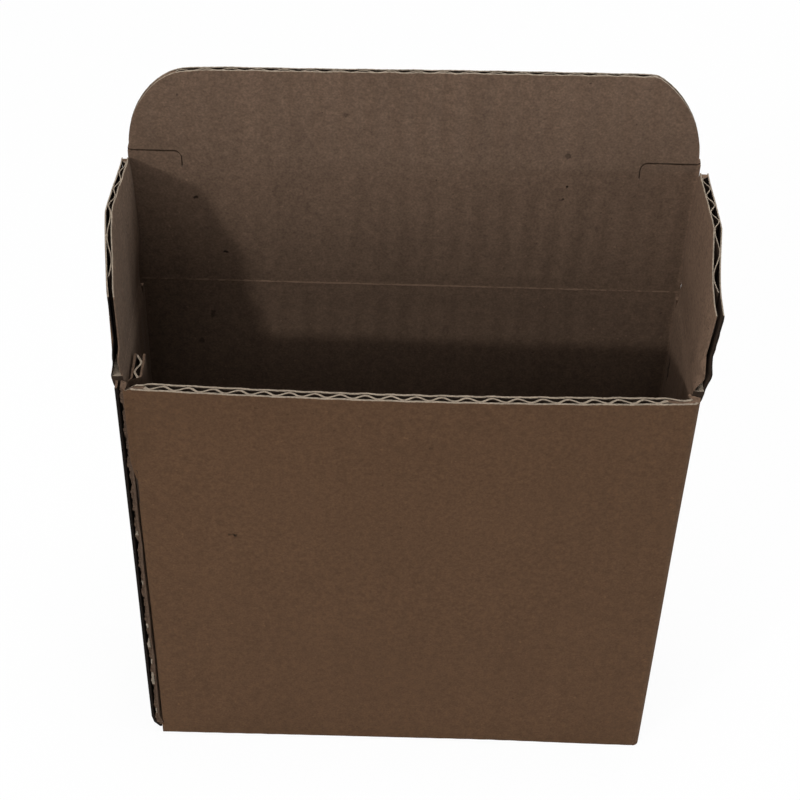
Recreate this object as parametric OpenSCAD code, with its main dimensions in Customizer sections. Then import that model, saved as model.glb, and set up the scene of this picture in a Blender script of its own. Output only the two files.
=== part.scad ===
// Bottle shipping box: one die-cut sheet of corrugated board, folded into a
// reverse-tuck carton. The lid, its tuck and the two top dust flaps stand open.
// +Z is up, the front panel faces -Y, and the base's middle is the origin.

/* [Box] */
// Overall width, across both side panels
box_w = 150; // [110:1:220]
// Overall depth, from the front panel to the back panel
box_d = 44.5; // [38:0.5:90]
// Height of the front panel's cut top edge
box_h = 148.5; // [100:0.5:260]

/* [Board] */
// Thickness of the corrugated board
board_t = 3; // [2.6:0.1:3.6]
// Thickness of each flat liner
liner_t = 0.45; // [0.3:0.05:0.6]
// Thickness of the fluted sheet between the liners
medium_t = 0.4; // [0.3:0.05:0.5]
// Length of one flute wave
flute_pitch = 6.6; // [5.6:0.1:8]
// Board crushed flat beside a folded corner
corner_crush = 4; // [3:0.5:8]
// Outer radius of a folded corner
fold_r = 1.8; // [0.8:0.1:2.4]

/* [Creases] */
// Length of board that a flap's crease pinches, on each side of it
crush_l = 3; // [2.6:0.1:4]
// Radius of the bead that a flap turns on
bead_r = 0.35; // [0.25:0.05:0.45]
// How far a flap's pinched faces pass beside the middle of that bead
neck_r = 0.15; // [0.05:0.05:0.2]
// Gap between that bead and the pinched edge under it
bead_gap = 0.3; // [0.2:0.05:0.4]

/* [Lid] */
// Length of the tuck, from its crease to its cut edge
tuck_l = 31; // [24:0.5:36]
// Radius of the tuck's corners
tuck_r = 16.5; // [8:0.5:20]
// Length of the locking slit at each end of the tuck's crease
slit_l = 13; // [10:0.5:18]
// Width of that slit
slit_w = 0.4; // [0.3:0.05:0.6]

/* [Dust flaps] */
// Length of a dust flap, from its crease to its cut end
dust_l = 44; // [36:0.5:52]
// Length of the cut end itself
dust_end_l = 22; // [16:0.5:28]
// Length of a dust flap's straight edge, before it tapers to the end
dust_straight_l = 26; // [18:0.5:30]
// Length of the shoulder that the tuck's slit locks on
shoulder_l = 9; // [6:0.5:9]
// How far a dust flap's crease lies outside the middle of its side panel
dust_shift = 1; // [0:0.1:1]
// Outward lean of an open dust flap, in degrees
dust_lean = 1; // [0:0.5:8]

/* [Glued seam] */
// Length of the glue tab, from the front panel's face
tab_l = 17; // [12:0.5:19]
// How far the left panel's cut edge stops behind the front face
seam_setback = 0.5; // [0:0.1:1.5]

/* [Clearances] */
// Gap between two layers of board that lie on each other
layer_gap = 0.3; // [0.2:0.05:0.5]
// Gap beside a tuck, and between a lid and the panels beside it
side_gap = 0.4; // [0.3:0.05:0.6]
// Gap between a dust flap and the open lid
lid_gap = 0.7; // [0.5:0.1:1.2]

/* [Hidden] */
kraft = [0.47, 0.37, 0.28];
over = 1;
arc_steps = 5;
bead_steps = 8;
corner_arc_steps = 10;
half_t = board_t / 2;
layer = board_t + layer_gap;

// Faces of the folded walls
right_x = box_w / 2;
left_x = -box_w / 2;
back_y = box_d / 2;
front_y = -box_d / 2;
inner_right_x = right_x - board_t;
inner_left_x = left_x + board_t;
inner_back_y = back_y - board_t;
inner_front_y = front_y + board_t;
tab_face_x = inner_left_x + board_t;
tab_end_y = front_y + tab_l;
wall_mid_x = right_x - half_t;

// Creases of the flaps
seat_drop = bead_r + bead_gap;
seat_share = seat_drop / crush_l;
neck_angle = atan2(crush_l, half_t) + asin(neck_r / norm([half_t, crush_l])) - asin(neck_r / bead_r);
dust_axis_x = right_x - half_t + dust_shift;
dust_axis_z = box_h - half_t;
lid_axis_y = back_y - half_t;
lid_axis_z = box_h + layer_gap + half_t;
tuck_offset = board_t + side_gap + half_t;
lid_l = lid_axis_y - (front_y + tuck_offset);
lid_w = 2 * (dust_axis_x - half_t - side_gap);
tuck_w = box_w - 2 * (board_t + side_gap);
slit_drop = half_t + layer + layer_gap;
hook_x = lid_w / 2 - slit_l;

// Edges of a dust flap along the depth, with the lock's shoulder first
shoulder_y = inner_front_y + side_gap;
dust_edge_y = front_y + tuck_offset + half_t + side_gap;
dust_back_y = inner_back_y - lid_gap;

// Levels of the closed bottom
wall_foot = layer;
dust_foot = 2 * layer;
bottom_tuck_y = back_y - tuck_offset;

// Wave of the fluted sheet: its swing and the points of one cell's floor
wave_a = half_t - liner_t - medium_t / 2;
cell_half = 0.42 * flute_pitch;
cell_floor = [-0.3, -0.15, 0, 0.15, 0.3];

// Height of the fluted sheet's upper surface at a share of one wave
function wave_slope(s) = wave_a * 2 * PI / flute_pitch * sin(360 * s);
function wave_top(s) = medium_t / 2 * sqrt(1 + pow(wave_slope(s), 2)) - wave_a * cos(360 * s);

// Points of an arc about a centre
function arc(c, r, a0, a1, n) =
    [for (i = [0 : n]) let (a = a0 + (a1 - a0) * i / n) c + r * [cos(a), sin(a)]];

// One open cell between a liner and the wave, above the board's middle
module flute_cell() {
    liner_face = half_t - liner_t;
    polygon(concat(
        [[cell_half, liner_face], [-cell_half, liner_face]],
        [for (s = cell_floor) [s * flute_pitch, wave_top(s)]]
    ));
}

// All the cells across a board of this width, centred, on both sides of the wave
module flute_cells(span) {
    count = floor(span / flute_pitch);
    for (i = [0 : count - 1]) {
        at = (i - (count - 1) / 2) * flute_pitch;
        translate([at, 0]) flute_cell();
        if (i < count - 1) translate([at + flute_pitch / 2, 0]) mirror([0, 1]) flute_cell();
    }
}

// Channels that run up from z = 0, across a board that stands along X
module channels(span, length) {
    linear_extrude(length) flute_cells(span);
}

// A shape drawn across the depth and the height, carried along X
module along_x(length) {
    rotate([90, 0, 90]) linear_extrude(length, center = true) children();
}

// A shape drawn across the width and the height, carried along Y
module along_y(length) {
    rotate([90, 0, 0]) linear_extrude(length, center = true) children();
}

// Section of a board that rises from the bead of its crease
module flap_section(length) {
    polygon(concat(
        arc([0, 0], bead_r, 180 - neck_angle, 360 + neck_angle, bead_steps),
        [[half_t, crush_l], [half_t, length], [-half_t, length], [-half_t, crush_l]]
    ));
}

// Section of what is taken off a board to pinch its top edge under a bead at the origin,
// where the board's middle lies to one side of the bead and both faces lean towards the bead
module seat_cut(middle = 0) {
    low = middle - half_t;
    high = middle + half_t;
    difference() {
        translate([low, -crush_l]) square([board_t, crush_l + layer + over]);
        polygon([
            [low, -crush_l], [high, -crush_l],
            [high * seat_share, -seat_drop], [low * seat_share, -seat_drop]
        ]);
    }
}

// What is taken off a square edge to round it, with the edge at the origin
module edge_cut() {
    polygon(concat([[-over, -over], [fold_r, -over]],
        [[fold_r, 0]], arc([fold_r, fold_r], fold_r, -90, -180, arc_steps), [[-over, fold_r]]));
}

// Outline of a dust flap: depth across, length up from its crease
module dust_outline() {
    shoulder_step = dust_edge_y - shoulder_y;
    polygon([
        [dust_back_y, -over], [dust_back_y, dust_l],
        [dust_back_y - dust_end_l, dust_l],
        [dust_edge_y, dust_straight_l],
        [dust_edge_y, shoulder_l + shoulder_step],
        [shoulder_y, shoulder_l], [shoulder_y, -over]
    ]);
}

// Outline of a tuck: width across, length up from its crease, notched at its slits
module tuck_outline() {
    notch = hook_x - slit_w;
    corner = [tuck_w / 2 - tuck_r, tuck_l - tuck_r];
    right = concat([[notch, -over], [notch, slit_drop], [tuck_w / 2, slit_drop]],
        arc(corner, tuck_r, 0, 90, corner_arc_steps));
    polygon(concat(right, [for (i = [len(right) - 1 : -1 : 0]) [-right[i][0], right[i][1]]]));
}

// The walls in plan: front, right, back and left panels, with the glue tab inside the left one
module wall_plan() {
    seam_y = front_y + seam_setback;
    difference() {
        polygon(concat(
            [[left_x, seam_y], [inner_left_x, seam_y]],
            arc([inner_left_x + fold_r, front_y + fold_r], fold_r, 180, 270, arc_steps),
            arc([right_x - fold_r, front_y + fold_r], fold_r, -90, 0, arc_steps),
            arc([right_x - fold_r, back_y - fold_r], fold_r, 0, 90, arc_steps),
            arc([left_x + fold_r, back_y - fold_r], fold_r, 90, 180, arc_steps)
        ));
        polygon([
            [tab_face_x, inner_front_y], [inner_right_x, inner_front_y],
            [inner_right_x, inner_back_y], [inner_left_x, inner_back_y],
            [inner_left_x, tab_end_y], [tab_face_x, tab_end_y]
        ]);
    }
}

// What the walls' top and bottom edges lose: cut edges, pinched creases and flap folds
module wall_cuts() {
    inside_d = inner_back_y - inner_front_y;
    above = layer + over;
    // All but the back panel ends at the front panel's cut edge
    translate([left_x - over, front_y - over, box_h])
        cube([box_w + 2 * over, over + box_d - board_t, above]);
    // Corners of the back panel
    for (side = [-1, 1])
        translate([side * wall_mid_x, lid_axis_y, box_h + above / 2])
            cube([board_t, 2 * board_t, above], center = true);
    // Creases of the lid and of the dust flaps
    translate([0, lid_axis_y, lid_axis_z]) along_x(lid_w + 2 * side_gap) seat_cut();
    for (side = [0, 1])
        mirror([side, 0, 0]) translate([dust_axis_x, 0, dust_axis_z])
            along_y(inside_d) seat_cut(-dust_shift);
    // The glue tab stops under the closed dust flap and above the bottom one, and leaves
    // a slot beside the front panel for the end of the closed tuck
    tab_d = tab_end_y - inner_front_y + over;
    slot_z = lid_axis_z - tuck_l - layer_gap;
    translate([inner_left_x, inner_front_y, box_h - layer])
        cube([board_t, tab_d, above + layer]);
    translate([inner_left_x, inner_front_y, slot_z])
        cube([board_t, dust_edge_y - inner_front_y, box_h - slot_z]);
    translate([inner_left_x, inner_front_y, -over])
        cube([board_t, tab_d, dust_foot + over]);
    // All but the front panel ends above the bottom panel
    translate([left_x - over, inner_front_y, -over])
        cube([box_w + 2 * over, box_d, wall_foot + over]);
    translate([left_x - over, front_y - over, -over])
        cube([board_t + over, board_t + 2 * over, wall_foot + over]);
}

// Flute channels inside the four panels and the glue tab
module wall_channels() {
    foot = board_t + crush_l;
    front_mid_x = (inner_left_x + right_x) / 2;
    front_span = right_x - inner_left_x - 2 * corner_crush;
    side_span = box_d - 2 * corner_crush;
    translate([front_mid_x, front_y + half_t, foot])
        channels(front_span, box_h - foot + over);
    translate([0, lid_axis_y, wall_foot - over])
        channels(box_w - 2 * corner_crush, lid_axis_z - crush_l - wall_foot + over);
    for (side = [-1, 1])
        translate([side * wall_mid_x, 0, dust_foot + crush_l]) rotate([0, 0, 90])
            channels(side_span, dust_axis_z - 2 * crush_l - dust_foot);
    translate([inner_left_x + half_t, (dust_edge_y + tab_end_y) / 2, dust_foot - over])
        rotate([0, 0, 90])
            channels(tab_end_y - dust_edge_y, box_h - layer - dust_foot + 2 * over);
}

// Bottom panel, folded under from the front panel, with its locking ears
module bottom_panel() {
    panel_end_y = bottom_tuck_y + half_t;
    ear_end_y = bottom_tuck_y + slit_drop - slit_w;
    channel_y = front_y + board_t + crush_l;
    difference() {
        union() {
            translate([-lid_w / 2, front_y, 0]) cube([lid_w, panel_end_y - front_y, board_t]);
            for (side = [-1, 1])
                translate([side * (lid_w - slit_l) / 2, (ear_end_y + channel_y) / 2, half_t])
                    cube([slit_l, ear_end_y - channel_y, board_t], center = true);
        }
        translate([0, channel_y, half_t]) rotate([-90, 0, 0])
            channels(tuck_w, bottom_tuck_y - half_t - crush_l - channel_y);
    }
}

// Bottom tuck, standing inside the back panel
module bottom_tuck() {
    difference() {
        translate([0, bottom_tuck_y, half_t]) intersection() {
            translate([0, 0, tuck_l / 2 - half_t]) cube([tuck_w, board_t, tuck_l + board_t], center = true);
            along_y(2 * board_t) tuck_outline();
        }
        translate([0, bottom_tuck_y, half_t + crush_l]) channels(tuck_w, tuck_l);
    }
}

// One bottom dust flap, folded in from the right panel over the bottom panel
module bottom_dust_flap() {
    difference() {
        translate([wall_mid_x, 0, wall_foot + half_t]) rotate([0, -90, 0]) mirror([0, 1, 0])
            along_x(board_t) dust_outline();
        translate([wall_mid_x - crush_l, 0, wall_foot + half_t]) rotate([0, -90, 0]) rotate([0, 0, 90])
            channels(dust_back_y - dust_edge_y, dust_l);
    }
}

// What rounds the folds of the closed bottom
module bottom_folds() {
    translate([0, front_y, 0]) along_x(box_w + 2 * over) edge_cut();
    translate([0, bottom_tuck_y + half_t, 0]) along_x(2 * (hook_x - slit_w)) mirror([1, 0]) edge_cut();
    for (side = [0, 1])
        mirror([side, 0, 0]) translate([right_x, 0, wall_foot])
            along_y(inner_back_y - inner_front_y) mirror([1, 0]) edge_cut();
}

// The folded and glued sheet without its open flaps
module carton() {
    color(kraft) difference() {
        union() {
            difference() {
                linear_extrude(lid_axis_z) wall_plan();
                wall_cuts();
                wall_channels();
            }
            bottom_panel();
            bottom_tuck();
            for (side = [0, 1]) mirror([side, 0, 0]) bottom_dust_flap();
        }
        bottom_folds();
    }
}

// Lid, hinged on the back panel, with an ear beside each slit
module lid() {
    ear_foot = lid_l - crush_l - over;
    ear_top = lid_l + slit_drop - slit_w;
    color(kraft) translate([0, lid_axis_y, lid_axis_z]) difference() {
        union() {
            difference() {
                along_x(lid_w) flap_section(lid_l);
                translate([0, 0, lid_l]) along_x(2 * lid_w) seat_cut();
            }
            for (side = [-1, 1])
                translate([side * (lid_w - slit_l) / 2, 0, (ear_foot + ear_top) / 2])
                    cube([slit_l, board_t, ear_top - ear_foot], center = true);
        }
        translate([0, 0, crush_l]) channels(lid_w, lid_l - 2 * crush_l);
    }
}

// Tuck on the lid's front edge
module lid_tuck() {
    color(kraft) translate([0, lid_axis_y, lid_axis_z + lid_l]) difference() {
        intersection() {
            along_x(tuck_w) flap_section(tuck_l);
            along_y(2 * board_t) tuck_outline();
        }
        translate([0, 0, crush_l]) channels(tuck_w, tuck_l);
    }
}

// One dust flap on the right, standing open
module dust_flap() {
    color(kraft) translate([dust_axis_x, 0, dust_axis_z]) rotate([0, dust_lean, 0]) difference() {
        intersection() {
            along_y(box_d) flap_section(dust_l);
            along_x(2 * board_t) dust_outline();
        }
        translate([0, 0, crush_l]) rotate([0, 0, 90]) channels(dust_back_y - dust_edge_y, dust_l);
    }
}

module dust_flap_left() {
    mirror([1, 0, 0]) dust_flap();
}

module dust_flap_right() {
    dust_flap();
}

carton();
lid();
lid_tuck();
dust_flap_left();
dust_flap_right();
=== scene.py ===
import bpy
import numpy as np
from mathutils import Matrix


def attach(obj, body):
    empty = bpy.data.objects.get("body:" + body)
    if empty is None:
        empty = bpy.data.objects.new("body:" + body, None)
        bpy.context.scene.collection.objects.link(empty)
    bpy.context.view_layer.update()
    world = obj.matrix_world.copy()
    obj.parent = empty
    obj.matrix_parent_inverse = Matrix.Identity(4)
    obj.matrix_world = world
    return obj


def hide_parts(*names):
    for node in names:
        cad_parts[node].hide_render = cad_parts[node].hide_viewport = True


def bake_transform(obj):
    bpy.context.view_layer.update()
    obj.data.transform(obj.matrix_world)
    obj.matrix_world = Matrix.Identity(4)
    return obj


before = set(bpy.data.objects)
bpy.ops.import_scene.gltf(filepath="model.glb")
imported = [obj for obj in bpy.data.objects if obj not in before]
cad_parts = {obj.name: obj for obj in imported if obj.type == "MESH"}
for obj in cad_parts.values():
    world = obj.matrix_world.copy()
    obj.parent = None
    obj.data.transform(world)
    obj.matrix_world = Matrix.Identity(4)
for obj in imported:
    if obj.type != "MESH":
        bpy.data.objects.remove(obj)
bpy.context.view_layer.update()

# The walls: glue tab, front, right, back and left panels, one run of single-wall corrugated
# board folded at four scored corners, with the tab glued inside the left panel.
# Two flat kraft liners hold a fluted sheet between them, and the flutes run up the box. Sizes are in mm.
MM = 0.001
half_t = 1.5
liner_t = 0.6
medium_t = 0.55
flute_pitch = 6.5
fold_r = 1.8
inner_fold_r = 0.2
arc_points = 7
border = 0.02
outer_x, inner_x = 75.0, 72.0
outer_y, inner_y = 22.25, 19.25
tab_x, tab_end_y = -69.0, -5.25
raw_edge_y = -21.75
wall_top = 148.5
tab_top, tab_foot = 145.2, 6.6
crease_half = 3.0
lid_axis = (20.75, 150.3)
dust_axis = (74.5, 147.0)
dust_lean = np.radians(1.0)
OUTER, INNER, EDGE, SHADED_FLUTE, PAINTED_SHADE = range(5)


def linear(red, green, blue):
    """Linear colour of a screen colour given in 0 to 255, by the usual power law with a straight foot."""
    c = np.array([red, green, blue]) / 255
    return (*np.where(c <= 0.04045, c / 12.92, ((c + 0.055) / 1.055) ** 2.4), 1.0)


usual_noise = (0.3, 0.7)
speck_noise = (0.745, 0.80)
pale_specks = 0.5
# Heights in metres between which the inner liner's painted light goes from darker to lighter.
painted_top_light_z = (0.13, 0.22)
# Places across in metres beyond which the inner liner is painted lighter, as painted light on the right
# side.
painted_right_light_x = (0.0717, 0.0722)


def paper(name, colour, mottle, dark_specks, streaks=0.0, painted_top_light=0.0, marks=(), painted_right_light=0.0):
    """A kraft paper, coloured by each point's place in the standing box, which the sheets carry with them.
    Its colour is scaled by noises, cloudy, fibrous, fine and drawn out along the flutes. As painted light,
    it goes from darker below 130 mm to lighter above 220 mm up, by one share, and is lighter on the right
    side, by another. It turns towards bark brown or pale where a speck noise is high, and at a listed mark
    towards near black, or towards pale where the mark's darkness is negative.
    A mark is (x, y, z, width, height, darkness) in mm: a soft spot about that point."""
    made = bpy.data.materials.new(name)
    made.use_nodes = True
    nodes, links = made.node_tree.nodes, made.node_tree.links
    shader = nodes["Principled BSDF"]
    shader.inputs["Roughness"].default_value = 0.9
    shader.inputs["Specular IOR Level"].default_value = 0.12
    stored = nodes.new("ShaderNodeAttribute")
    stored.attribute_name = "rest_place"
    place = stored.outputs["Vector"]

    def noise(scale, detail, shift=0.0, upright=1.0):
        """A noise of this scale and detail, from a shifted place, drawn out along Z if upright is small."""
        at = nodes.new("ShaderNodeMapping")
        at.inputs["Location"].default_value = (shift, 2 * shift, 3 * shift)
        at.inputs["Scale"].default_value = (1, 1, upright)
        links.new(place, at.inputs["Vector"])
        found = nodes.new("ShaderNodeTexNoise")
        found.inputs["Scale"].default_value = scale
        found.inputs["Detail"].default_value = detail
        links.new(at.outputs["Vector"], found.inputs["Vector"])
        return found.outputs["Fac"]

    def ranged(value, low, high, to_low, to_high):
        """A value moved in proportion from one range to another, and kept inside it."""
        found = nodes.new("ShaderNodeMapRange")
        found.inputs["From Min"].default_value = low
        found.inputs["From Max"].default_value = high
        found.inputs["To Min"].default_value = to_low
        found.inputs["To Max"].default_value = to_high
        links.new(value, found.inputs["Value"])
        return found.outputs["Result"]

    def math(operation, a, b):
        """The sum or product of two values."""
        found = nodes.new("ShaderNodeMath")
        found.operation = operation
        links.new(a, found.inputs[0])
        links.new(b, found.inputs[1])
        return found.outputs["Value"]

    def towards(share, start, end):
        """A colour mixed in proportion from start to end."""
        found = nodes.new("ShaderNodeMix")
        found.data_type = "RGBA"
        links.new(share, found.inputs["Factor"])
        links.new(start, found.inputs["A"])
        found.inputs["B"].default_value = end
        return found.outputs["Result"]

    def varied(value, share):
        """A noise as a factor about 1, that goes up and down by this share."""
        return ranged(value, *usual_noise, 1 - share, 1 + share)

    def shade(share):
        """The paper's own colour, times this share."""
        return (*(share * np.array(colour[:3])), 1.0)

    fibres = noise(650, 5)
    cloudy = varied(noise(32, 4), 0.3 * mottle)
    fibrous = varied(fibres, mottle)
    fine = varied(noise(1700, 2), 1.4 * mottle)
    streaky = varied(noise(190, 2, 6.0, 0.06), streaks)
    axes = nodes.new("ShaderNodeSeparateXYZ")
    links.new(place, axes.inputs["Vector"])
    # Painted light: darker low in the box and lighter high up.
    painted_top_light_factor = ranged(axes.outputs["Z"], *painted_top_light_z, 1 - painted_top_light, 1 + painted_top_light)
    scaled = nodes.new("ShaderNodeVectorMath")
    scaled.operation = "SCALE"
    scaled.inputs[0].default_value = colour[:3]
    tone = math("MULTIPLY", math("MULTIPLY", cloudy, fibrous), math("MULTIPLY", fine, streaky))
    # Painted light: lighter on the right side.
    painted_right_light_factor = ranged(axes.outputs["X"], *painted_right_light_x, 1, 1 + painted_right_light)
    links.new(math("MULTIPLY", tone, math("MULTIPLY", painted_top_light_factor, painted_right_light_factor)), scaled.inputs["Scale"])
    tint = scaled.outputs["Vector"]
    bark, pit, pale = shade(0.22), shade(0.1), shade(1.7)
    tint = towards(ranged(noise(620, 1, 4.0), *speck_noise, 0, dark_specks), tint, bark)
    tint = towards(ranged(noise(700, 1, 9.0), *speck_noise, 0, pale_specks), tint, pale)
    for x, y, z, width, height, darkness in marks:
        off = nodes.new("ShaderNodeVectorMath")
        off.operation = "SUBTRACT"
        links.new(place, off.inputs[0])
        off.inputs[1].default_value = (x * MM, y * MM, z * MM)
        shrunk = nodes.new("ShaderNodeVectorMath")
        shrunk.operation = "DIVIDE"
        links.new(off.outputs["Vector"], shrunk.inputs[0])
        shrunk.inputs[1].default_value = (width * MM, width * MM, height * MM)
        away = nodes.new("ShaderNodeVectorMath")
        away.operation = "LENGTH"
        links.new(shrunk.outputs["Vector"], away.inputs[0])
        ragged = math("ADD", away.outputs["Value"], ranged(fibres, *usual_noise, -0.45, 0.45))
        tint = towards(ranged(ragged, 0.35, 0.75, abs(darkness), 0), tint, pit if darkness > 0 else pale)
    links.new(tint, shader.inputs["Base Color"])
    bump = nodes.new("ShaderNodeBump")
    bump.inputs["Strength"].default_value = 0.35
    bump.inputs["Distance"].default_value = 0.00012
    links.new(fibres, bump.inputs["Height"])
    links.new(bump.outputs["Normal"], shader.inputs["Normal"])
    return made


front_y, face_y = -outer_y, inner_y
front_marks = [
    (-46.7, front_y, 94.1, 2.0, 0.8, 1.0),
    (-47.3, front_y, 116.8, 0.5, 0.5, -0.7),
    (-37.0, front_y, 109.6, 0.5, 0.4, -0.6),
]
inside_marks = [
    (-56.5, face_y, 178.5, 1.2, 1.0, 1.0),
    (-49.0, face_y, 160.2, 1.5, 0.8, 1.0),
    (39.0, face_y, 194.7, 1.1, 1.2, 0.5),
    (39.5, face_y, 185.1, 0.8, 0.9, 1.0),
    (38.9, face_y, 180.8, 1.2, 0.8, 1.0),
    (-17.7, face_y, 205.9, 1.4, 0.9, 0.35),
    (-13.9, face_y, 205.1, 0.8, 0.8, 0.35),
    (32.3, face_y, 206.0, 0.9, 0.8, 0.35),
    (-42.5, face_y, 203.9, 0.6, 0.8, -0.8),
    (-58.4, face_y, 184.0, 0.5, 0.6, -0.8),
    (57.4, face_y, 209.3, 0.7, 0.5, -0.7),
    (-53.8, face_y, 138.5, 0.9, 2.6, 0.55),
    (-57.1, face_y, 127.9, 1.1, 1.8, 0.5),
    # A pale line along the lid's crease: paler cracked fibres, with a painted highlight where the score's
    # flank catches the light from above.
    (0.0, face_y, 150.3, 140.0, 0.45, -0.9),
    # Painted shade: a near black mark where a slit lies near the back corner of the right panel.
    (72.3, 13.8, 126.0, 1.2, 6.0, 1.0),
]
outer_liner = paper("outer_kraft_liner", linear(90, 66, 47), mottle=0.11, dark_specks=0.35, streaks=0.02,
                    marks=front_marks)
# The inner liner carries painted light: lighter high up and on the right side.
inner_liner = paper("inner_kraft_liner", linear(97, 78, 64), mottle=0.14, dark_specks=0.6, streaks=0.05,
                    painted_top_light=0.2, painted_right_light=0.3, marks=inside_marks)
cut_edge = paper("cut_paper_edge", linear(140, 127, 112), mottle=0.16, dark_specks=0.3)
# The fluted medium's own brown, made darker as painted shade for the hollows of the open flutes.
shaded_fluting = paper("fluted_medium_painted_shade", linear(52, 41, 33), mottle=0.1, dark_specks=0.3)
# Painted shade: a near black finish for the shade in open flutes and gaping edges.
painted_shade_edge = paper("painted_shade_edge", linear(20, 15, 12), mottle=0.1, dark_specks=0.3)


def folded_line(outer, inner):
    """The two faces of a folded board, seen along its folds: straight runs between the given corners, with
    a quarter circle in place of each corner, wide outside and tight inside. Lengths follow the mean line."""

    def face(corners, radius):
        """One face: straight runs, with a quarter circle of this radius at each corner."""
        corners = np.array(corners, float)
        ahead = np.diff(corners, axis=0)
        ahead /= np.linalg.norm(ahead, axis=1)[:, None]
        turn = np.linspace(0, np.pi / 2, arc_points)[None, :, None]
        d0, d1, corner = ahead[:-1, None], ahead[1:, None], corners[1:-1, None]
        arcs = corner + radius * (d1 * (1 - np.cos(turn)) - d0 * (1 - np.sin(turn)))
        return np.concatenate([corners[:1], arcs.reshape(-1, 2), corners[-1:]])

    out, inn = face(outer, fold_r), face(inner, inner_fold_r)
    step = np.linalg.norm(np.diff((out + inn) / 2, axis=0), axis=1)
    s = np.concatenate([[0], np.cumsum(step)])
    return {"s": s, "out": out, "in": inn, "folds": s[1:-1].reshape(-1, arc_points)}


def on_line(line, s, n):
    """Point of a folded board at length s: n mm from its middle, on the straight line between its faces."""
    share = n / (2 * half_t) + 0.5
    out = [np.interp(s, line["s"], line["out"][:, k]) for k in (0, 1)]
    inn = [np.interp(s, line["s"], line["in"][:, k]) for k in (0, 1)]
    return [i + share * (o - i) for o, i in zip(out, inn)]


def step_up(x, start, end):
    """0 before start, 1 after end, and a smooth S between."""
    t = np.clip((x - start) / (end - start), 0, 1)
    return t * t * (3 - 2 * t)


def ripple(a, b, seed):
    """Slow unevenness of paper, about -1 to 1: a sum of six sine waves in fixed directions."""
    draw = np.random.default_rng(seed)
    angle, phase = draw.uniform(0, 6.28, 6), draw.uniform(0, 6.28, 6)
    reach = draw.uniform(0.5, 1.6, 6)
    return sum(np.sin(k * (a * np.cos(t) + b * np.sin(t)) + p) for k, t, p in zip(reach, angle, phase)) / 3


def closed_sheet(face, back, finishes):
    """One sheet of paper from two grids of points: the face that looks outwards, the back turned over,
    and a rim of quads between their borders. Finishes are those of face, back and rim, where a list of four
    gives the rim's lower side, end, upper side and start, each as one finish or as one for each quad."""
    rows, cols = face.shape[:2]
    at = np.arange(rows * cols).reshape(rows, cols)
    quads = np.stack([at[:-1, :-1], at[:-1, 1:], at[1:, 1:], at[1:, :-1]], -1).reshape(-1, 4)
    loop = np.concatenate([at[0, :-1], at[:-1, -1], at[-1, :0:-1], at[:0:-1, 0]])
    after = np.roll(loop, -1)
    rim = np.stack([after, loop, loop + at.size, after + at.size], -1)
    counts = [len(quads), len(quads), len(rim)]
    sides = finishes[2] if isinstance(finishes[2], list) else [finishes[2]] * 4
    lengths = [cols - 1, rows - 1, cols - 1, rows - 1]
    rim_finish = np.concatenate([np.broadcast_to(f, k) for f, k in zip(sides, lengths)])
    return {
        "points": np.concatenate([face.reshape(-1, 3), back.reshape(-1, 3)]),
        "quads": np.concatenate([quads, quads[:, ::-1] + at.size, rim]),
        "finish": np.concatenate([np.repeat(finishes[:2], counts[:2]), rim_finish]),
        "smooth": np.repeat([True, True, False], counts),
    }


outer_sink, inner_sink = 0.06, 0.23
cut_rag = 0.1
squeeze = 0.72
wave_steps = 14
core_rows = (0, 0.04, 0.5, 0.96, 1)
core_short = -0.15
crushed_shut = 0.4


def outer_face(s, v):
    """Outer face of a flat board: half its thickness from the middle."""
    return half_t + 0 * s


def inner_face(s, v):
    """Inner face of a flat board: half its thickness from the middle."""
    return -half_t + 0 * s


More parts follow.
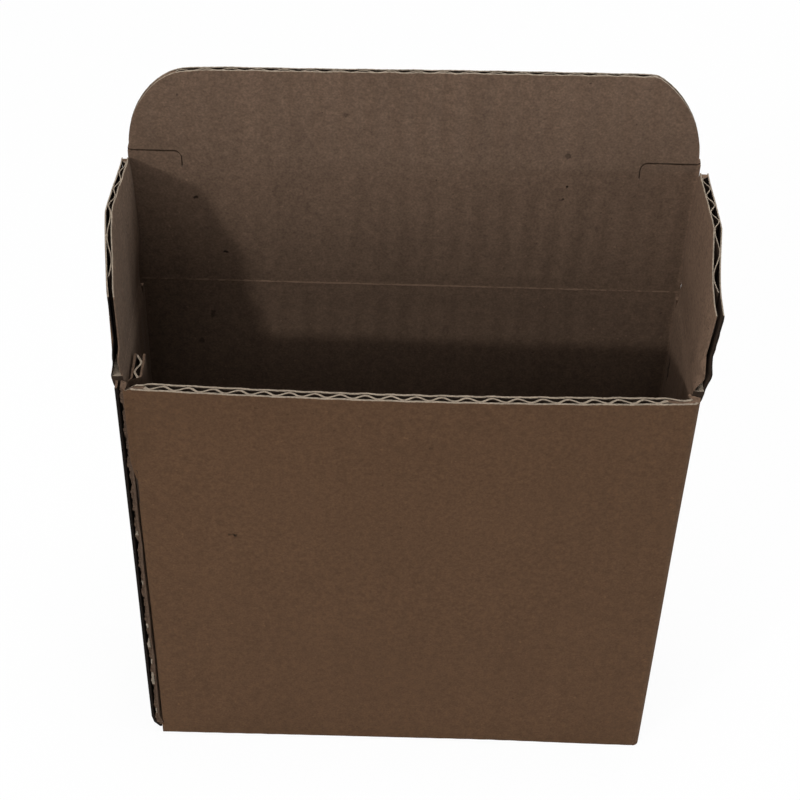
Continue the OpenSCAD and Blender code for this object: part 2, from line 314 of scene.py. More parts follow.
def board_sheets(place, s, low, high, rows, seed, out=outer_face, inn=inner_face, core_inset=(0, 0),
                 crushed=None, free=None, papers=(liner_t, medium_t), squeezed=None, outer_rim=EDGE,
                 inner_rim=EDGE, core_out=None, bends=()):
    """Outer liner, inner liner and fluted sheet of one board. s runs across the flutes, and v along them
    from low(s) to high(s); out(s, v) and inn(s, v) are the heights of its faces. The fluted sheet is a
    cosine wave that touches both liners, and each liner sinks a little where the wave leaves it. Where
    crushed(s, v) is 1, the wave is flat and fills the board, and where squeezed(s, v) is 1, the papers are
    pressed flat. The upper border frays where free(s) is 1, and is even where it is 0. At that border the
    fluted sheet ends a little below the liners, or core_out(s) above them. Bends are the shares of the
    length at which a fold lies."""
    turn = 2 * np.pi / flute_pitch
    liner, medium = papers
    rows = np.union1d(rows, bends)

    def grid(places, shares, rag):
        """Places across and along the board, with two sine waves of fray at its cut border, and how free a
        liner is to sink there, from 0 to 1."""
        a, b = low(places), high(places)
        v = a + (b - a) * shares[:, None]
        v[1], v[-2] = a + border, b - border
        at = np.broadcast_to(places, v.shape)
        cut = 1.0 if free is None else free(places)
        fade = step_up(v - a, 0, 5) * np.maximum(step_up(b - v, 0, 4), cut)
        loose = cut * rag * (0.6 * np.sin(9.1 * at + seed) + 0.4 * np.sin(23.0 * at + 2 * seed))
        return at, v + loose * (shares[:, None] > 0.5) * step_up(v - b, -2, 0), fade

    def sunk(at, v, fade, depth, sign):
        """How far a liner sinks: a cosine wave between the flutes it is glued to, and slow unevenness."""
        depth = depth * (0.75 + 0.5 * ripple(at / 9, v / 30, seed + 5))
        uneven = 0.06 * ripple(at / 14, v / 18, seed + 9)
        return fade * (depth * 0.5 * (1 - sign * np.cos(turn * at)) + uneven)

    def pressed_to(at, v):
        """Share of its thickness that a paper keeps where the board is pressed."""
        return 1.0 if squeezed is None else 1 - squeeze * squeezed(at, v)

    at, v, fade = grid(s, rows, cut_rag)
    top = out(at, v) - sunk(at, v, fade, outer_sink, 1)
    outer = closed_sheet(place(at, v, top), place(at, v, top - liner * pressed_to(at, v)),
                         (OUTER, SHADED_FLUTE, outer_rim))
    at, v, fade = grid(s, rows, -cut_rag)
    bottom = inn(at, v) + sunk(at, v, fade, inner_sink, -1)
    inner = closed_sheet(place(at, v, bottom + liner * pressed_to(at, v)), place(at, v, bottom),
                         (SHADED_FLUTE, INNER, inner_rim))
    start, end = s[0] + core_inset[0], s[-1] - core_inset[1]
    even = np.linspace(start, end, int((end - start) / flute_pitch * wave_steps))
    fine = np.union1d(even, s[(s > start) & (s < end)])
    at, v, fade = grid(fine, np.union1d(core_rows, bends), 0.0)
    v = v + (core_short if core_out is None else core_out(fine)) * step_up(v - high(fine), -1, 0)
    middle = (out(at, v) + inn(at, v)) / 2
    room = (out(at, v) - inn(at, v)) / 2 - liner * pressed_to(at, v)
    flat = np.zeros(at.shape) if crushed is None else crushed(at, v)
    half = np.minimum(medium / 2, np.maximum(room, 0.01))
    half = half + flat * np.maximum(room - half, 0)
    swing = np.maximum(room - half, 0) * (1 - flat)
    wave = middle + swing * np.cos(turn * at)
    lean = swing * turn * np.sin(turn * at)
    aside = half * lean / np.sqrt(1 + lean**2)
    up = half / np.sqrt(1 + lean**2)
    filled = np.where(flat[-1, :0:-1] > crushed_shut, INNER, EDGE)
    core = closed_sheet(place(at + aside, v, wave + up), place(at - aside, v, wave - up),
                        (SHADED_FLUTE, SHADED_FLUTE, [SHADED_FLUTE, SHADED_FLUTE, filled, SHADED_FLUTE]))
    return [outer, inner, core]


def paper_object(name, sheets):
    """One mesh object from closed sheets, in metres, with its faces' finishes, its cut rims flat shaded, and
    each point's place as built stored for the papers' colours."""
    starts = np.cumsum([0] + [len(sheet["points"]) for sheet in sheets])
    points = np.concatenate([sheet["points"] for sheet in sheets]) * MM
    quads = np.concatenate([sheet["quads"] + start for sheet, start in zip(sheets, starts)])
    mesh = bpy.data.meshes.new(name)
    mesh.from_pydata(points, [], quads.tolist())
    mesh.polygons.foreach_set("material_index", np.concatenate([sheet["finish"] for sheet in sheets]))
    mesh.polygons.foreach_set("use_smooth", np.concatenate([sheet["smooth"] for sheet in sheets]))
    for finish in (outer_liner, inner_liner, cut_edge, shaded_fluting, painted_shade_edge):
        mesh.materials.append(finish)
    mesh.attributes.new("rest_place", "FLOAT_VECTOR", "POINT").data.foreach_set("vector", points.ravel())
    mesh.update()
    made = bpy.data.objects.new(name, mesh)
    bpy.context.scene.collection.objects.link(made)
    return made


walls = folded_line(
    [(-inner_x, tab_end_y), (-inner_x, -outer_y), (outer_x, -outer_y), (outer_x, outer_y),
     (-outer_x, outer_y), (-outer_x, raw_edge_y)],
    [(tab_x, tab_end_y), (tab_x, -inner_y), (inner_x, -inner_y), (inner_x, inner_y),
     (-inner_x, inner_y), (-inner_x, raw_edge_y)],
)
TAB, FRONT, RIGHT, BACK, LEFT = range(5)
corner_s = walls["folds"].mean(axis=1)
crush_widths = np.array([3.0, 6.5, 2.5, 2.5])
front_thinning, side_thinning = 0.8, 0.5
right_even_z, back_even_z = (142, 146), (90, 142)
front_middle, front_half = (outer_x - inner_x) / 2, (outer_x + inner_x) / 2
front_bow = 1.8
side_lean_out = 0.6
side_lean_reach = 19.5
side_lean_foot = 95.0
curl_r, curl_top, curl_most = 6.0, 8.0, 5.0
curl_y, fray_y, behind_corner_y = (18, 20), (19.0, 21.6), (18.9, 19.4)
tab_fold_y = -19.2
lid_x = 73.0
post_x = 72.5
flap_y = (-18.9, 18.6)
foot_y = (-18.5, 18.8)
seam_z = 5.0
dust_foot, dust_low = 7.0, 3.3
post_foot = 0.2
slot_y = (14.2, 15.2)
slot_z = (115.0, 118.5)
slot_depth = 2.64
wing_room = 1.1
raw_fray = 0.45


def side_lean(y):
    """How far a side panel's top leans out below its dust flap: most in the middle, falling with the fourth
    power of the depth to nothing at the corners."""
    return side_lean_out * np.clip(1 - (y / side_lean_reach) ** 4, 0, 1)


def wall_point(s, v, n):
    """A point of the walls. The front panel bows outwards, by a parabola across it that grows with the
    square of the height, and the side panels lean out a little towards the dust flaps' creases. The left
    panel's raw edge curls in at its foot, and the tab gives way where the lid's tuck slides in."""
    panel, x, y = wall_zone(s)
    side = (panel == RIGHT) | (panel == LEFT)
    lean = side_lean(y) * step_up(v, side_lean_foot, dust_axis[1] - crease_half) * side
    arc = curl_r - np.sqrt(curl_r**2 - np.clip(curl_top - v, 0, curl_most) ** 2)
    curl = (panel == LEFT) * step_up(-y, *curl_y) * arc
    give = wing_room * wall_squeezed(s, v)
    x, y = on_line(walls, s, n + lean - curl + give)
    swell = np.clip(1 - ((x - front_middle) / front_half) ** 2, 0, 1) * (v / wall_top) ** 2
    return np.stack([x, y - front_bow * swell * (panel == FRONT), v], -1)


def wall_zone(s):
    """Which panel a length lies on, with its place across the box and its depth."""
    x, y = on_line(walls, s, 0 * s)
    return np.searchsorted(corner_s, s), x, y


def wall_high(s):
    """Top of the walls: a cut edge on the front panel and at the corners, the foot of a crease elsewhere."""
    panel, x, y = wall_zone(s)
    side = ((panel == RIGHT) | (panel == LEFT)) & (y > flap_y[0]) & (y < flap_y[1])
    top = np.where(side, dust_axis[1] - crease_half, wall_top)
    top = np.where((panel == BACK) & (np.abs(x) < lid_x), lid_axis[1] - crease_half, top)
    return np.where((panel == TAB) & (y > tab_fold_y), tab_top, top)


def wall_low(s):
    """Foot of the walls: where a fold to the closed bottom begins, or a cut edge."""
    panel, x, y = wall_zone(s)
    side = ((panel == RIGHT) | (panel == LEFT)) & (y > foot_y[0]) & (y < foot_y[1])
    foot = np.where(side, dust_foot, dust_low)
    foot = np.where((panel == FRONT) & (x < post_x), seam_z, foot)
    post = (panel == FRONT) & (x >= post_x) | (panel == RIGHT) & (y < foot_y[0])
    foot = np.where(post, post_foot, foot)
    return np.where((panel == TAB) & (y > tab_fold_y), tab_foot, foot)


def wall_crushed(s, v):
    """How far the board is crushed, from 0 to 1: beside each corner, widest at the front right one."""
    near = [np.exp(-(((s - c) / w) ** 4)) for c, w in zip(corner_s, crush_widths)]
    return np.clip(sum(near), 0, 1)


def wall_squeezed(s, v):
    """1 on the tab's upper end beside the front panel, pressed flat where the lid's tuck slides in."""
    panel, x, y = wall_zone(s)
    return (panel == TAB) * step_up(-y, *slot_y) * step_up(v, *slot_z)


def wall_in(s, v):
    """Inner face of the walls: half a board from the middle, thinner where crushed, and all but flat on the
    tab's upper end beside the front panel, where the lid's tuck slides in and the left panel gives way too.
    The left panel's cut edge frays, by the product of two sine waves up it."""
    panel, x, y = wall_zone(s)
    even = np.where(panel == RIGHT, step_up(v, *right_even_z), (panel > RIGHT) * step_up(v, *back_even_z))
    thin = np.where(panel >= RIGHT, side_thinning, front_thinning) * wall_crushed(s, v) * (1 - even)
    fray = (panel == LEFT) * step_up(-y, *fray_y) * (0.5 + 0.5 * np.sin(0.31 * v) * np.sin(0.83 * v + 1))
    behind_tab = (panel == LEFT) * step_up(-y, *slot_y) * (1 - step_up(-y, *behind_corner_y))
    give = wing_room * behind_tab * step_up(v, *slot_z)
    return -half_t + np.maximum(thin, wall_squeezed(s, v) * slot_depth) + raw_fray * fray + give


wall_steps = []
for panel, axis, values in (
    (TAB, 1, [tab_fold_y]), (FRONT, 0, [post_x]), (RIGHT, 1, [*flap_y, *foot_y]),
    (BACK, 0, [lid_x, -lid_x]), (LEFT, 1, [*flap_y, *foot_y]),
):
    ends = np.concatenate([[0], corner_s, walls["s"][-1:]])[panel:panel + 2]
    run = np.linspace(*ends, 4001)
    placed = on_line(walls, run, 0 * run)[axis]
    order = np.argsort(placed)
    wall_steps += [np.interp(value, placed[order], run[order]) for value in values]
wall_steps = np.array(wall_steps)
wall_gap = 0.012
wall_s = np.unique(np.concatenate([
    np.arange(0, walls["s"][-1], flute_pitch / 10), walls["s"], wall_steps - wall_gap, wall_steps + wall_gap,
    [border, walls["s"][-1] - border],
]))
board_rows = np.unique(np.concatenate([[0, 0.005, 0.015, 0.035], np.linspace(0.07, 0.93, 16),
                                       [0.965, 0.985, 0.994, 1]]))

# The left panel's raw edge: torn pulp between its liners, uneven by sine waves of mixed lengths, with a few
# longer bits that catch the light, each given by its height and half its length.
raw_width, raw_gap = 4.2, 0.1
raw_s = np.linspace(-raw_width, -raw_gap, 8)
raw_v = np.linspace(dust_low + raw_gap, wall_top + core_short, 240)[:, None]
torn_bits = np.array([(92, 0.7), (71, 0.8), (52, 1.1), (44, 2.4), (35, 0.9), (27, 3.2), (11, 1.5)])
bits = np.exp(-((raw_v - torn_bits[:, 0]) / torn_bits[:, 1]) ** 4).sum(axis=1)[:, None]
torn = 0.3 * np.sin(0.41 * raw_v) * np.sin(1.13 * raw_v + 2) + 0.15 * np.sin(3.7 * raw_v) - 0.35 + 0.9 * bits
raw_at = walls["s"][-1] + raw_s + torn * step_up(raw_s, -2, -raw_gap)
raw_v = np.broadcast_to(raw_v, raw_at.shape)
ragged = 0.35 * np.sin(0.29 * raw_v + 1) * np.sin(0.77 * raw_v) + 0.12 * np.sin(2.9 * raw_v)
ragged += 0.8 * (1 - step_up(raw_v, 4, 12))
rim_bits = np.where(bits.ravel()[:-1] > 0.5, EDGE, INNER)
pulp = closed_sheet(
    wall_point(raw_at, raw_v, 0.1 + ragged),
    wall_point(raw_at, raw_v, wall_in(raw_at, raw_v) + liner_t - border),
    (INNER, INNER, [INNER, rim_bits, INNER, INNER]))
cut_top = np.where(wall_zone(wall_s)[0][:0:-1] == FRONT, EDGE, INNER)
core_ends = (0.2, 4.0)
box_walls = paper_object("box_walls", [pulp] + board_sheets(
    wall_point, wall_s, wall_low, wall_high, board_rows, seed=3, inn=wall_in, core_inset=core_ends,
    crushed=wall_crushed, free=lambda s: np.isin(wall_high(s), (wall_top, tab_top)),
    # Painted shade: the outer liner's rim at the left panel's raw edge is near black.
    squeezed=wall_squeezed, outer_rim=[EDGE, PAINTED_SHADE, cut_top, EDGE], inner_rim=[EDGE, INNER, cut_top, EDGE]))
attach(box_walls, "carton")
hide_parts("carton")

# The closed bottom: a panel folded under from the front panel, whose tuck stands inside the back panel
# between two locking ears, over two dust flaps folded in from the side panels.
# It is the same board, scored and folded; nothing else holds it.
board_t = 2 * half_t
panel_end = 14.0
panel_left, panel_right = 71.9, 73.15
panel_sharp, sharp_x, sharp_width = 0.5, (15, 70), 0.45
hook = 59.4
hook_r = 1.8
ear_half, ear_l, ear_gap = 72.6, 8.0, 0.3
tuck_half = 71.6
tuck_l = 31.0
tuck_r = 16.5
tuck_back_y, tuck_reach_z = 18.85, 40.0
slit_v = 4.9
slit_gap, bottom_slit_gap = 0.28, 0.5
step_gap = 0.01
bottom_front = folded_line([(-outer_y, seam_z), (-outer_y, 0), (panel_end, 0)],
                           [(-inner_y, seam_z), (-inner_y, board_t), (panel_end, board_t)])
bottom_back = folded_line(
    [(panel_end, 0), (tuck_back_y, 0), (tuck_back_y, tuck_reach_z)],
    [(panel_end, board_t), (tuck_back_y - board_t, board_t), (tuck_back_y - board_t, tuck_reach_z)])
panel_l = bottom_front["s"][-1]
fold_under = bottom_front["folds"].mean()
fold_up = bottom_back["folds"][0].mean()
short_rows = np.unique(np.concatenate([np.linspace(0, 1, 15), [0.01, 0.03, 0.97, 0.99]]))


def slit_line(beside):
    """Height of a locking slit above the crease: level, and a quarter circle down to the hook at one end."""
    drop = np.clip(hook_r - beside, 0, hook_r)
    return slit_v - hook_r + np.sqrt(hook_r**2 - drop**2)


def tuck_high(u):
    """Cut edge of the bottom tuck: straight, with a quarter circle at each corner."""
    over = np.clip(np.abs(u) - (tuck_half - tuck_r), 0, tuck_r)
    return tuck_l - tuck_r + np.sqrt(tuck_r**2 - over**2)


def across(half, *steps):
    """Places across a board of this half width, close enough for the flutes and doubled at its steps."""
    corner = np.sin(np.linspace(0.9, np.pi / 2, 14)) * tuck_r + half - tuck_r
    steps = np.array(steps + (-half, half))
    inside = np.concatenate([np.arange(-half, half, flute_pitch / 10), corner, -corner,
                             steps - step_gap, steps + step_gap,
                             steps - step_gap - border, steps + step_gap + border])
    return np.unique(np.clip(inside, -half, half))


def at_fold(v, fold, width):
    """1 at a fold, falling off to both sides along the board as a bell of this width."""
    return np.exp(-(((v - fold) / width) ** 2))


def bottom_panel_point(s, v, n):
    """A point of the bottom panel: across it is -X, along it the fold under the front panel, which is
    sharper towards the right."""
    sharp = panel_sharp * step_up(-s, *sharp_x) * at_fold(v, fold_under, sharp_width)
    y, z = on_line(bottom_front, v, n + sharp)
    return np.stack([-s, y, z], -1)


def bottom_tuck_point(s, v, n):
    """A point of the bottom tuck and its fold: across it is -X, along it the turn up the back panel."""
    y, z = on_line(bottom_back, v, n)
    return np.stack([-s, y, z], -1)


def ear_point(s, v, n):
    """A point of a bottom ear, level behind the bottom panel."""
    return np.stack([-s, panel_end + v, half_t - n], -1)


panel_s = across(panel_right, panel_left)
bottom_sheets = board_sheets(
    bottom_panel_point, panel_s[panel_s < panel_left], lambda s: 0 * s, lambda s: 0 * s + panel_l,
    short_rows, seed=11, crushed=lambda s, v: at_fold(v, fold_under, 4), free=lambda s: 0 * s,
    bends=bottom_front["folds"][0] / panel_l,
    outer_rim=[OUTER, EDGE, EDGE, EDGE], inner_rim=[SHADED_FLUTE, EDGE, EDGE, EDGE])
bottom_sheets += board_sheets(
    bottom_tuck_point, across(tuck_half, hook, -hook),
    lambda s: np.where(np.abs(s) < hook, 0.0, fold_up + slit_line(np.abs(s) - hook) + bottom_slit_gap),
    lambda s: fold_up + tuck_high(s), short_rows, seed=12, crushed=lambda s, v: at_fold(v, fold_up, 3))
for side in (-1, 1):
    bottom_sheets += board_sheets(
        ear_point, np.sort(side * np.linspace(hook + ear_gap, ear_half, 24)), lambda s: 0 * s,
        lambda s: 0 * s + ear_l, short_rows, seed=13, crushed=lambda s, v: 1 + 0 * s)
box_bottom = paper_object("box_bottom", bottom_sheets)
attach(box_bottom, "carton")

# The bottom dust flaps: one on each side panel's foot, of the same board, cut like the upper ones.
# They are folded in first, and lie on the bottom panel.
shoulder_y = -18.85
dust_edge_y = -15.45
dust_back_y = 18.9
dust_l = 44.0
dust_end_l = 22.0
dust_straight_l = 26.0
shoulder_l = 9.0
dust_run_x = 20.0


def dust_high(y):
    """Cut outline of a dust flap: a sloping shoulder, a step up to the straight edge, a slanted edge and
    the end."""
    shoulder = shoulder_l + (y - shoulder_y)
    slope = (dust_l - dust_straight_l) / (dust_back_y - dust_end_l - dust_edge_y)
    slant = np.minimum(dust_straight_l + (y - dust_edge_y) * slope, dust_l)
    return np.where(y < dust_edge_y, shoulder, slant)


dust_y = np.unique(np.concatenate([
    np.arange(shoulder_y, dust_back_y, flute_pitch / 12),
    [dust_edge_y - step_gap, dust_edge_y + step_gap, dust_back_y - dust_end_l, dust_back_y],
    [shoulder_y + border, dust_back_y - border],
]))
bottom_dust = folded_line(
    [(outer_x, dust_foot), (outer_x, dust_low), (dust_run_x, dust_low)],
    [(inner_x, dust_foot), (inner_x, dust_low + board_t), (dust_run_x, dust_low + board_t)])
fold_in = bottom_dust["folds"].mean()
for side, name in ((1, "bottom_dust_flap_right"), (-1, "bottom_dust_flap_left")):

    def bottom_dust_point(s, v, n):
        """A point of a bottom dust flap: across it is the depth, along it the fold from the side panel."""
        x, z = on_line(bottom_dust, v, n)
        return np.stack([side * x, -side * s, z], -1)

    flap = board_sheets(
        bottom_dust_point, side * dust_y[::side], lambda s: 0 * s, lambda s: fold_in + dust_high(side * s),
        short_rows, seed=14 + side, crushed=lambda s, v: at_fold(v, fold_in, 3))
    made = paper_object(name, flap)
    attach(made, "carton")

# The lid: a flap of the same board on the back panel, standing open, with an ear at each front corner
# beside the locking slits. It bends at a crease pinched into the board.
lid_edge = 72.95
tuck_foot = 38.1
hook_right = 57.8
ear_pressed = (35.5, 37)
slit_fill = 0.45


def lid_point(s, v, n):
    """A point of the lid or its tuck: across it is -X, up it the height above the lid's crease."""
    return np.stack([-s, lid_axis[0] + n, lid_axis[1] + v], -1)


def beside_hook(s):
    """How far a place across the lid lies beyond the nearer hook; the right slit is a little longer."""
    return np.where(s < 0, -s - hook_right, s - hook)


def lid_high(s):
    """Upper border of the lid: the foot of the tuck's crease, or an ear's edge just under its slit."""
    beside = beside_hook(s)
    return tuck_foot + np.where(beside < 0, -crease_half, slit_line(beside) - slit_gap)


lid_board = paper_object("lid_board", board_sheets(
    lid_point, across(lid_edge, hook, -hook_right), lambda s: crease_half + 0 * s, lid_high, short_rows,
    seed=21, crushed=lambda s, v: step_up(v, *ear_pressed), free=lambda s: beside_hook(s) > 0,
    outer_rim=[EDGE, EDGE, INNER, EDGE], inner_rim=[EDGE, EDGE, INNER, EDGE],
    core_out=lambda s: np.where(beside_hook(s) > 0, slit_fill, core_short)))
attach(lid_board, "lid")
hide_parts("lid")

# The tuck: the lid's front flap, with rounded corners and a cut edge that shows the open flutes.
# It is die-cut with the lid and scored where it bends.
tuck_pressed, tuck_pressed_l = 1.2, 3.5
tuck_papers = (0.4, 0.3)
ends_pressed = (tuck_half - 13.5, tuck_half - 11)
hook_gap = 0.2
wing_left, wing_right = 72.5, 72.3
corner_arc_r = 31.3
corner_arc_v = 5.6
ease_left, ease_right = 3.0, 0.8
lean_middle, lean_ends = -0.55, -1.05


def tuck_point(s, v, n):
    """A point of the tuck, which is bent forwards with the square of the height, most at its left end."""
    lean = (lean_middle + lean_ends * s / tuck_half) * (v / tuck_l) ** 2
    return lid_point(s, tuck_foot + v, n + lean)


def lid_tuck_low(s):
    """Lower border of the lid's tuck: the top of its crease, or an end's edge just above its slit."""
    beside = beside_hook(s)
    return np.where(beside < -hook_gap, crease_half, slit_line(np.maximum(beside, 0)) + slit_gap)


def lid_tuck_high(s):
    """Cut edge of the lid's tuck: the lower of a straight line and a wide arc at each end that starts
    upright just above the slit, with the corner between them eased, more at the left end."""
    inset = np.clip(np.where(s > 0, wing_left - s, wing_right + s), 0, corner_arc_r)
    arc = corner_arc_v + np.sqrt(2 * corner_arc_r * inset - inset**2)
    ease = ease_right + (ease_left - ease_right) * step_up(s, -30, 30)
    return (arc + tuck_l - np.sqrt((arc - tuck_l) ** 2 + ease**2)) / 2


def tuck_out(s, v):
    """Outer face of the tuck, pressed towards the inner one along the cut edge."""
    return half_t - tuck_pressed * np.exp((v - lid_tuck_high(s)) / tuck_pressed_l)


tuck_s = across(wing_left, hook - hook_gap, hook_gap - hook_right, -wing_right)
tuck_board = paper_object("tuck_board", board_sheets(
    tuck_point, tuck_s[tuck_s > -wing_right], lid_tuck_low, lid_tuck_high, board_rows, seed=31, out=tuck_out,
    papers=tuck_papers, crushed=lambda s, v: step_up(np.abs(s), *ends_pressed)))
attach(tuck_board, "lid_tuck")
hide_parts("lid_tuck")

# The dust flaps: one on each side panel, of the same board, standing open. Their cut edges are pressed
# thinner than the board. The ends show the open flutes, and the front edges run along a flute and gape.
foot_bend = -0.22
flap_papers = (0.32, 0.26)
front_gape, back_gap = 6.8, 0.3
back_pressed = (16.8, 17.8)
edge_width = 4


def root_bend(y):
    """How far a dust flap's foot is bent in at its back end, beside the lid."""
    return foot_bend * step_up(y, 6, dust_back_y)


for side, name, body, bent_back, bent_front, pressed in (
    (1, "dust_flap_right_board", "dust_flap_right", -1.0, 1.7, 0.7),
    (-1, "dust_flap_left_board", "dust_flap_left", -1.4, -0.3, 1.2),
):

    def dust_point(s, v, n):
        """A point of a dust flap: across it is the depth, up it the length from its crease, leaning out."""
        x = dust_axis[0] + n * np.cos(dust_lean) + v * np.sin(dust_lean)
        z = dust_axis[1] - n * np.sin(dust_lean) + v * np.cos(dust_lean)
        return np.stack([side * x, side * s, z], -1)

    def front_edge(s, v):
        """1 at the flap's front edge, which follows the shoulder up to the straight edge, fading inwards."""
        edge = np.clip(shoulder_y + v - shoulder_l, shoulder_y, dust_edge_y)
        return np.exp(-np.maximum(side * s - edge, 0) / edge_width)

    def middle(s, v):
        """How far the flap's middle is bent out: in at the back, where it stands against the lid, and
        a little at the front edge, on the way up from the crease."""
        bend = bent_back * step_up(v, crease_half, 20) * step_up(side * s, -6, dust_back_y)
        rise = 0.8 * step_up(v, crease_half, 8) + 0.5 * step_up(v, 8, dust_straight_l)
        return root_bend(side * s) + bend + bent_front * front_edge(s, v) * rise

    def thickness(s, v):
        """The board's thickness: pressed thin at the front edge, unevenly by the product of two sine waves
        up it, and at the cut end."""
        end = np.exp((v - dust_high(np.maximum(side * s, dust_edge_y + 2 * step_gap))) / edge_width)
        torn = 0.28 * np.sin(0.9 * v + side) * np.sin(0.37 * v) * front_edge(s, v) ** 2
        return board_t - (pressed + torn) * np.maximum(front_edge(s, v), end) * step_up(v, crease_half, 6)

    gaping = dust_y[::side][:0:-1] < dust_edge_y + 2 * step_gap
    flap = board_sheets(
        dust_point, side * dust_y[::side], lambda s: crease_half + 0 * s, lambda s: dust_high(side * s),
        short_rows, seed=40 + side, out=lambda s, v: middle(s, v) + thickness(s, v) / 2,
        inn=lambda s, v: middle(s, v) - thickness(s, v) / 2, core_inset=(front_gape, back_gap)[::side],
        papers=flap_papers, crushed=lambda s, v: step_up(side * s, *back_pressed),
        # Painted shade: the outer liner's rims at the front and back edges, and at the top near the front,
        # are near black.
        outer_rim=[EDGE, PAINTED_SHADE, np.where(gaping, PAINTED_SHADE, EDGE), PAINTED_SHADE],
        inner_rim=[EDGE, INNER, np.where(gaping, INNER, EDGE), INNER])
    made = paper_object(name, flap)
    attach(made, body)
    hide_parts(body)

# The creases: lines where the board is scored and pinched so that a flap can turn.
# The liners run on across them; a score shows inside, and a low bead outside.
bead_half, score_half = 0.9, 0.5
band_gap = 0.25
side_offset = (outer_x + inner_x) / 2 - dust_axis[0]
crease_v = np.linspace(-crease_half, crease_half, 25)
crease_v[1], crease_v[-2] = border - crease_half, crease_half - border


def crease_sheet(place, left, right, middle, score, bead, ends=EDGE):
    """Board across a crease, as a closed band of full thickness about middle(s, v), with a bell-shaped score
    inside and a bell-shaped bead outside. Its two ends have a finish of their own."""
    shares = np.concatenate([[0], np.linspace(border / 100, 1 - border / 100, 150), [1]])
    up = crease_v[:, None]
    s = left(up) + (right(up) - left(up)) * shares
    v = np.broadcast_to(up, s.shape)
    top = middle(s, v) + half_t + bead * np.exp(-((v / bead_half) ** 2))
    bottom = middle(s, v) - half_t + score * np.exp(-((v / score_half) ** 2))
    return closed_sheet(place(s, v, top), place(s, v, bottom), (OUTER, INNER, [EDGE, ends, EDGE, ends]))


lid_band = paper_object("lid_crease_band", [crease_sheet(
    lid_point, lambda v: -lid_edge + 0 * v, lambda v: lid_edge + 0 * v, lambda s, v: 0 * s,
    score=-0.03, bead=0.2)])
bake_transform(lid_band)
tuck_band = paper_object("tuck_crease_band", [crease_sheet(
    lambda s, v, n: lid_point(s, tuck_foot + v, n),
    lambda v: np.where(v < 0, -hook_right, band_gap - hook_right),
    lambda v: np.where(v < 0, hook, hook - band_gap), lambda s, v: 0 * s,
    score=0.03, bead=0.2)])
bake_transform(tuck_band)
for side, name, body in (
    (1, "right_flap_crease_band", "dust_flap_right"),
    (-1, "left_flap_crease_band", "dust_flap_left"),
):

    def dust_band_point(s, v, n):
        """A point of a dust flap's crease: upright below its axis, leaning outwards above it."""
        lean = np.where(v > 0, dust_lean, 0.0)
        x = dust_axis[0] + n * np.cos(lean) + v * np.sin(lean)
        z = dust_axis[1] - n * np.sin(lean) + v * np.cos(lean)
        return np.stack([side * x, side * s, z], -1)

    def dust_band_middle(s, v):
        """Middle of the band: a smooth S from the side panel's lean to the bend of the flap's foot."""
        foot = side_lean(s) + side_offset
        return foot + (root_bend(side * s) - foot) * step_up(v, -crease_half, crease_half)

    ends = sorted((side * shoulder_y, side * dust_back_y))
    band = paper_object(name, [crease_sheet(
        dust_band_point, lambda v: ends[0] + 0 * v, lambda v: ends[1] + 0 * v, dust_band_middle,
        score=0.0, bead=0.1, ends=SHADED_FLUTE)])
    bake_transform(band)

# The stage, in metres: a pale floor and white surroundings, a small window light from the front left with a
# broad fill beside it, a broad light above and another behind, a small cool light at the right, and the
# camera at the photograph's place.
floor_half = 6
floor_white = 0.95
floor_corners = [(floor_half * x, floor_half * y, 0) for x, y in ((-1, -1), (1, -1), (1, 1), (-1, 1))]
floor_mesh = bpy.data.meshes.new("floor")
floor_mesh.from_pydata(floor_corners, [], [(0, 1, 2, 3)])
floor = bpy.data.objects.new("floor", floor_mesh)
bpy.context.scene.collection.objects.link(floor)
floor_paint = bpy.data.materials.new("pale_floor")
floor_paint.use_nodes = True
nodes, links = floor_paint.node_tree.nodes, floor_paint.node_tree.links
matte = nodes["Principled BSDF"]
matte.inputs["Base Color"].default_value = (0.85, 0.85, 0.85, 1)
matte.inputs["Roughness"].default_value = 1.0
matte.inputs["Specular IOR Level"].default_value = 0.0


def seen_directly(nodes, links):
    """1 for a ray from the camera, a mirror or glass, and 0 for light that falls on the box."""
    path = nodes.new("ShaderNodeLightPath")
    total = path.outputs["Is Camera Ray"]
    for kind in ("Is Glossy Ray", "Is Transmission Ray"):
        either = nodes.new("ShaderNodeMath")
        either.operation = "MAXIMUM"
        links.new(total, either.inputs[0])
        links.new(path.outputs[kind], either.inputs[1])
        total = either.outputs["Value"]
    return total


glow = nodes.new("ShaderNodeEmission")
glow.inputs["Strength"].default_value = 1.0
veil = nodes.new("ShaderNodeMixShader")
share = nodes.new("ShaderNodeMath")
share.operation = "MULTIPLY"
share.inputs[1].default_value = floor_white
links.new(seen_directly(nodes, links), share.inputs[0])
links.new(share.outputs["Value"], veil.inputs["Fac"])
links.new(matte.outputs["BSDF"], veil.inputs[1])
links.new(glow.outputs["Emission"], veil.inputs[2])
links.new(veil.outputs["Shader"], nodes["Material Output"].inputs["Surface"])
floor_mesh.materials.append(floor_paint)

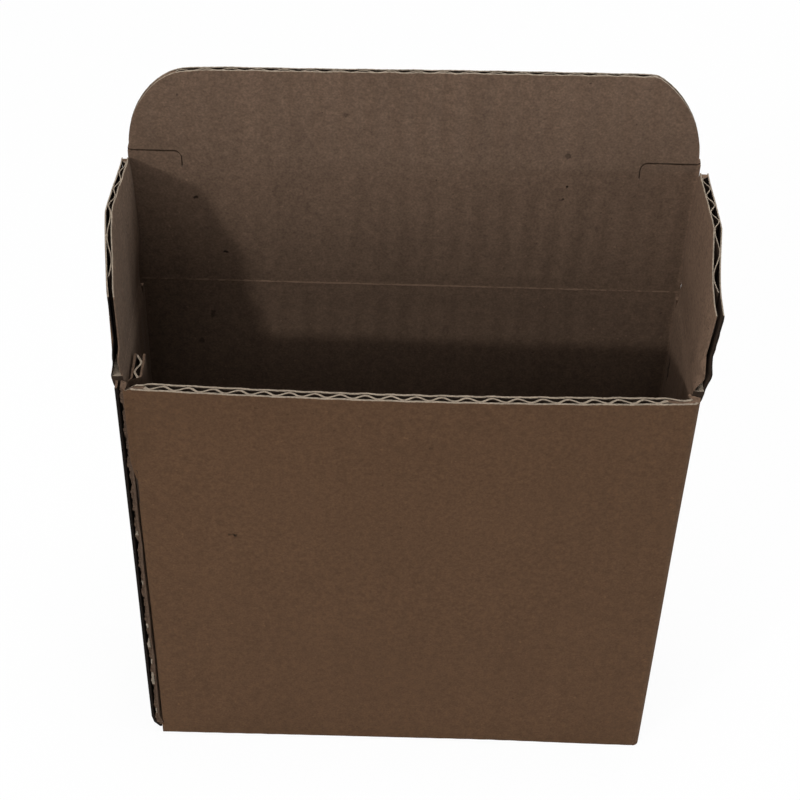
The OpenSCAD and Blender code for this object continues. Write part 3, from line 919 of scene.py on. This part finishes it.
world = bpy.data.worlds.new("studio")
bpy.context.scene.world = world
world.use_nodes = True
nodes, links = world.node_tree.nodes, world.node_tree.links
sky = nodes["Background"]
sky.inputs["Color"].default_value = (1, 1, 1, 1)
sky.inputs["Strength"].default_value = 0.02
white = nodes.new("ShaderNodeBackground")
white.inputs["Color"].default_value = (1, 1, 1, 1)
white.inputs["Strength"].default_value = 1.0
either = nodes.new("ShaderNodeMixShader")
links.new(seen_directly(nodes, links), either.inputs["Fac"])
links.new(sky.outputs["Background"], either.inputs[1])
links.new(white.outputs["Background"], either.inputs[2])
links.new(either.outputs["Shader"], nodes["World Output"].inputs["Surface"])


lamp_aim = (0, 0, 0.13)


def lamp(name, place, size, watts):
    """A square soft light at a place beside or obliquely above the box, turned to the box's upper part."""
    data = bpy.data.lights.new(name, "AREA")
    data.size, data.energy = size, watts
    made = bpy.data.objects.new(name, data)
    bpy.context.scene.collection.objects.link(made)
    back = np.array(place, float) - lamp_aim
    back /= np.linalg.norm(back)
    side = np.cross((0, 0, 1), back)
    side = side / np.linalg.norm(side)
    up = np.cross(back, side)
    turn = np.eye(4)
    turn[:3, 0], turn[:3, 1], turn[:3, 2], turn[:3, 3] = side, up, back, place
    made.matrix_world = Matrix(turn.tolist())
    return made


lamp("window_light", (-0.93, -1.0, 0.6), size=0.11, watts=6.8)
lamp("window_fill", (-0.7, -1.0, 0.95), size=0.7, watts=3.0)
lamp("ceiling_light", (0.0, -0.1, 1.5), size=0.6, watts=18)
lamp("back_light", (0.6, 1.3, 0.35), size=0.6, watts=8)
side_light = lamp("side_light", (1.4, -0.22, 0.22), size=0.12, watts=9)
side_light.data.color = (0.78, 0.9, 1.0)

camera_place = (-0.0044238, -0.3729031, 0.4925361)
camera_lens = 86.607
yaw, pitch, roll = np.radians([-0.39614, 44.54177, 1.79707])
ahead = np.array([-np.sin(yaw) * np.cos(pitch), np.cos(yaw) * np.cos(pitch), -np.sin(pitch)])
level = np.array([np.cos(yaw), np.sin(yaw), 0])
above = np.cross(level, ahead)
turned = np.eye(4)
turned[:3, 0] = np.cos(roll) * level + np.sin(roll) * above
turned[:3, 1] = -np.sin(roll) * level + np.cos(roll) * above
turned[:3, 2] = -ahead
turned[:3, 3] = camera_place
camera_data = bpy.data.cameras.new("camera")
camera_data.sensor_width = 36
camera_data.lens = camera_lens
camera_data.clip_start = 0.01
camera = bpy.data.objects.new("camera", camera_data)
bpy.context.scene.collection.objects.link(camera)
camera.matrix_world = Matrix(turned.tolist())
bpy.context.scene.camera = camera
bpy.context.scene.view_settings.view_transform = "Standard"
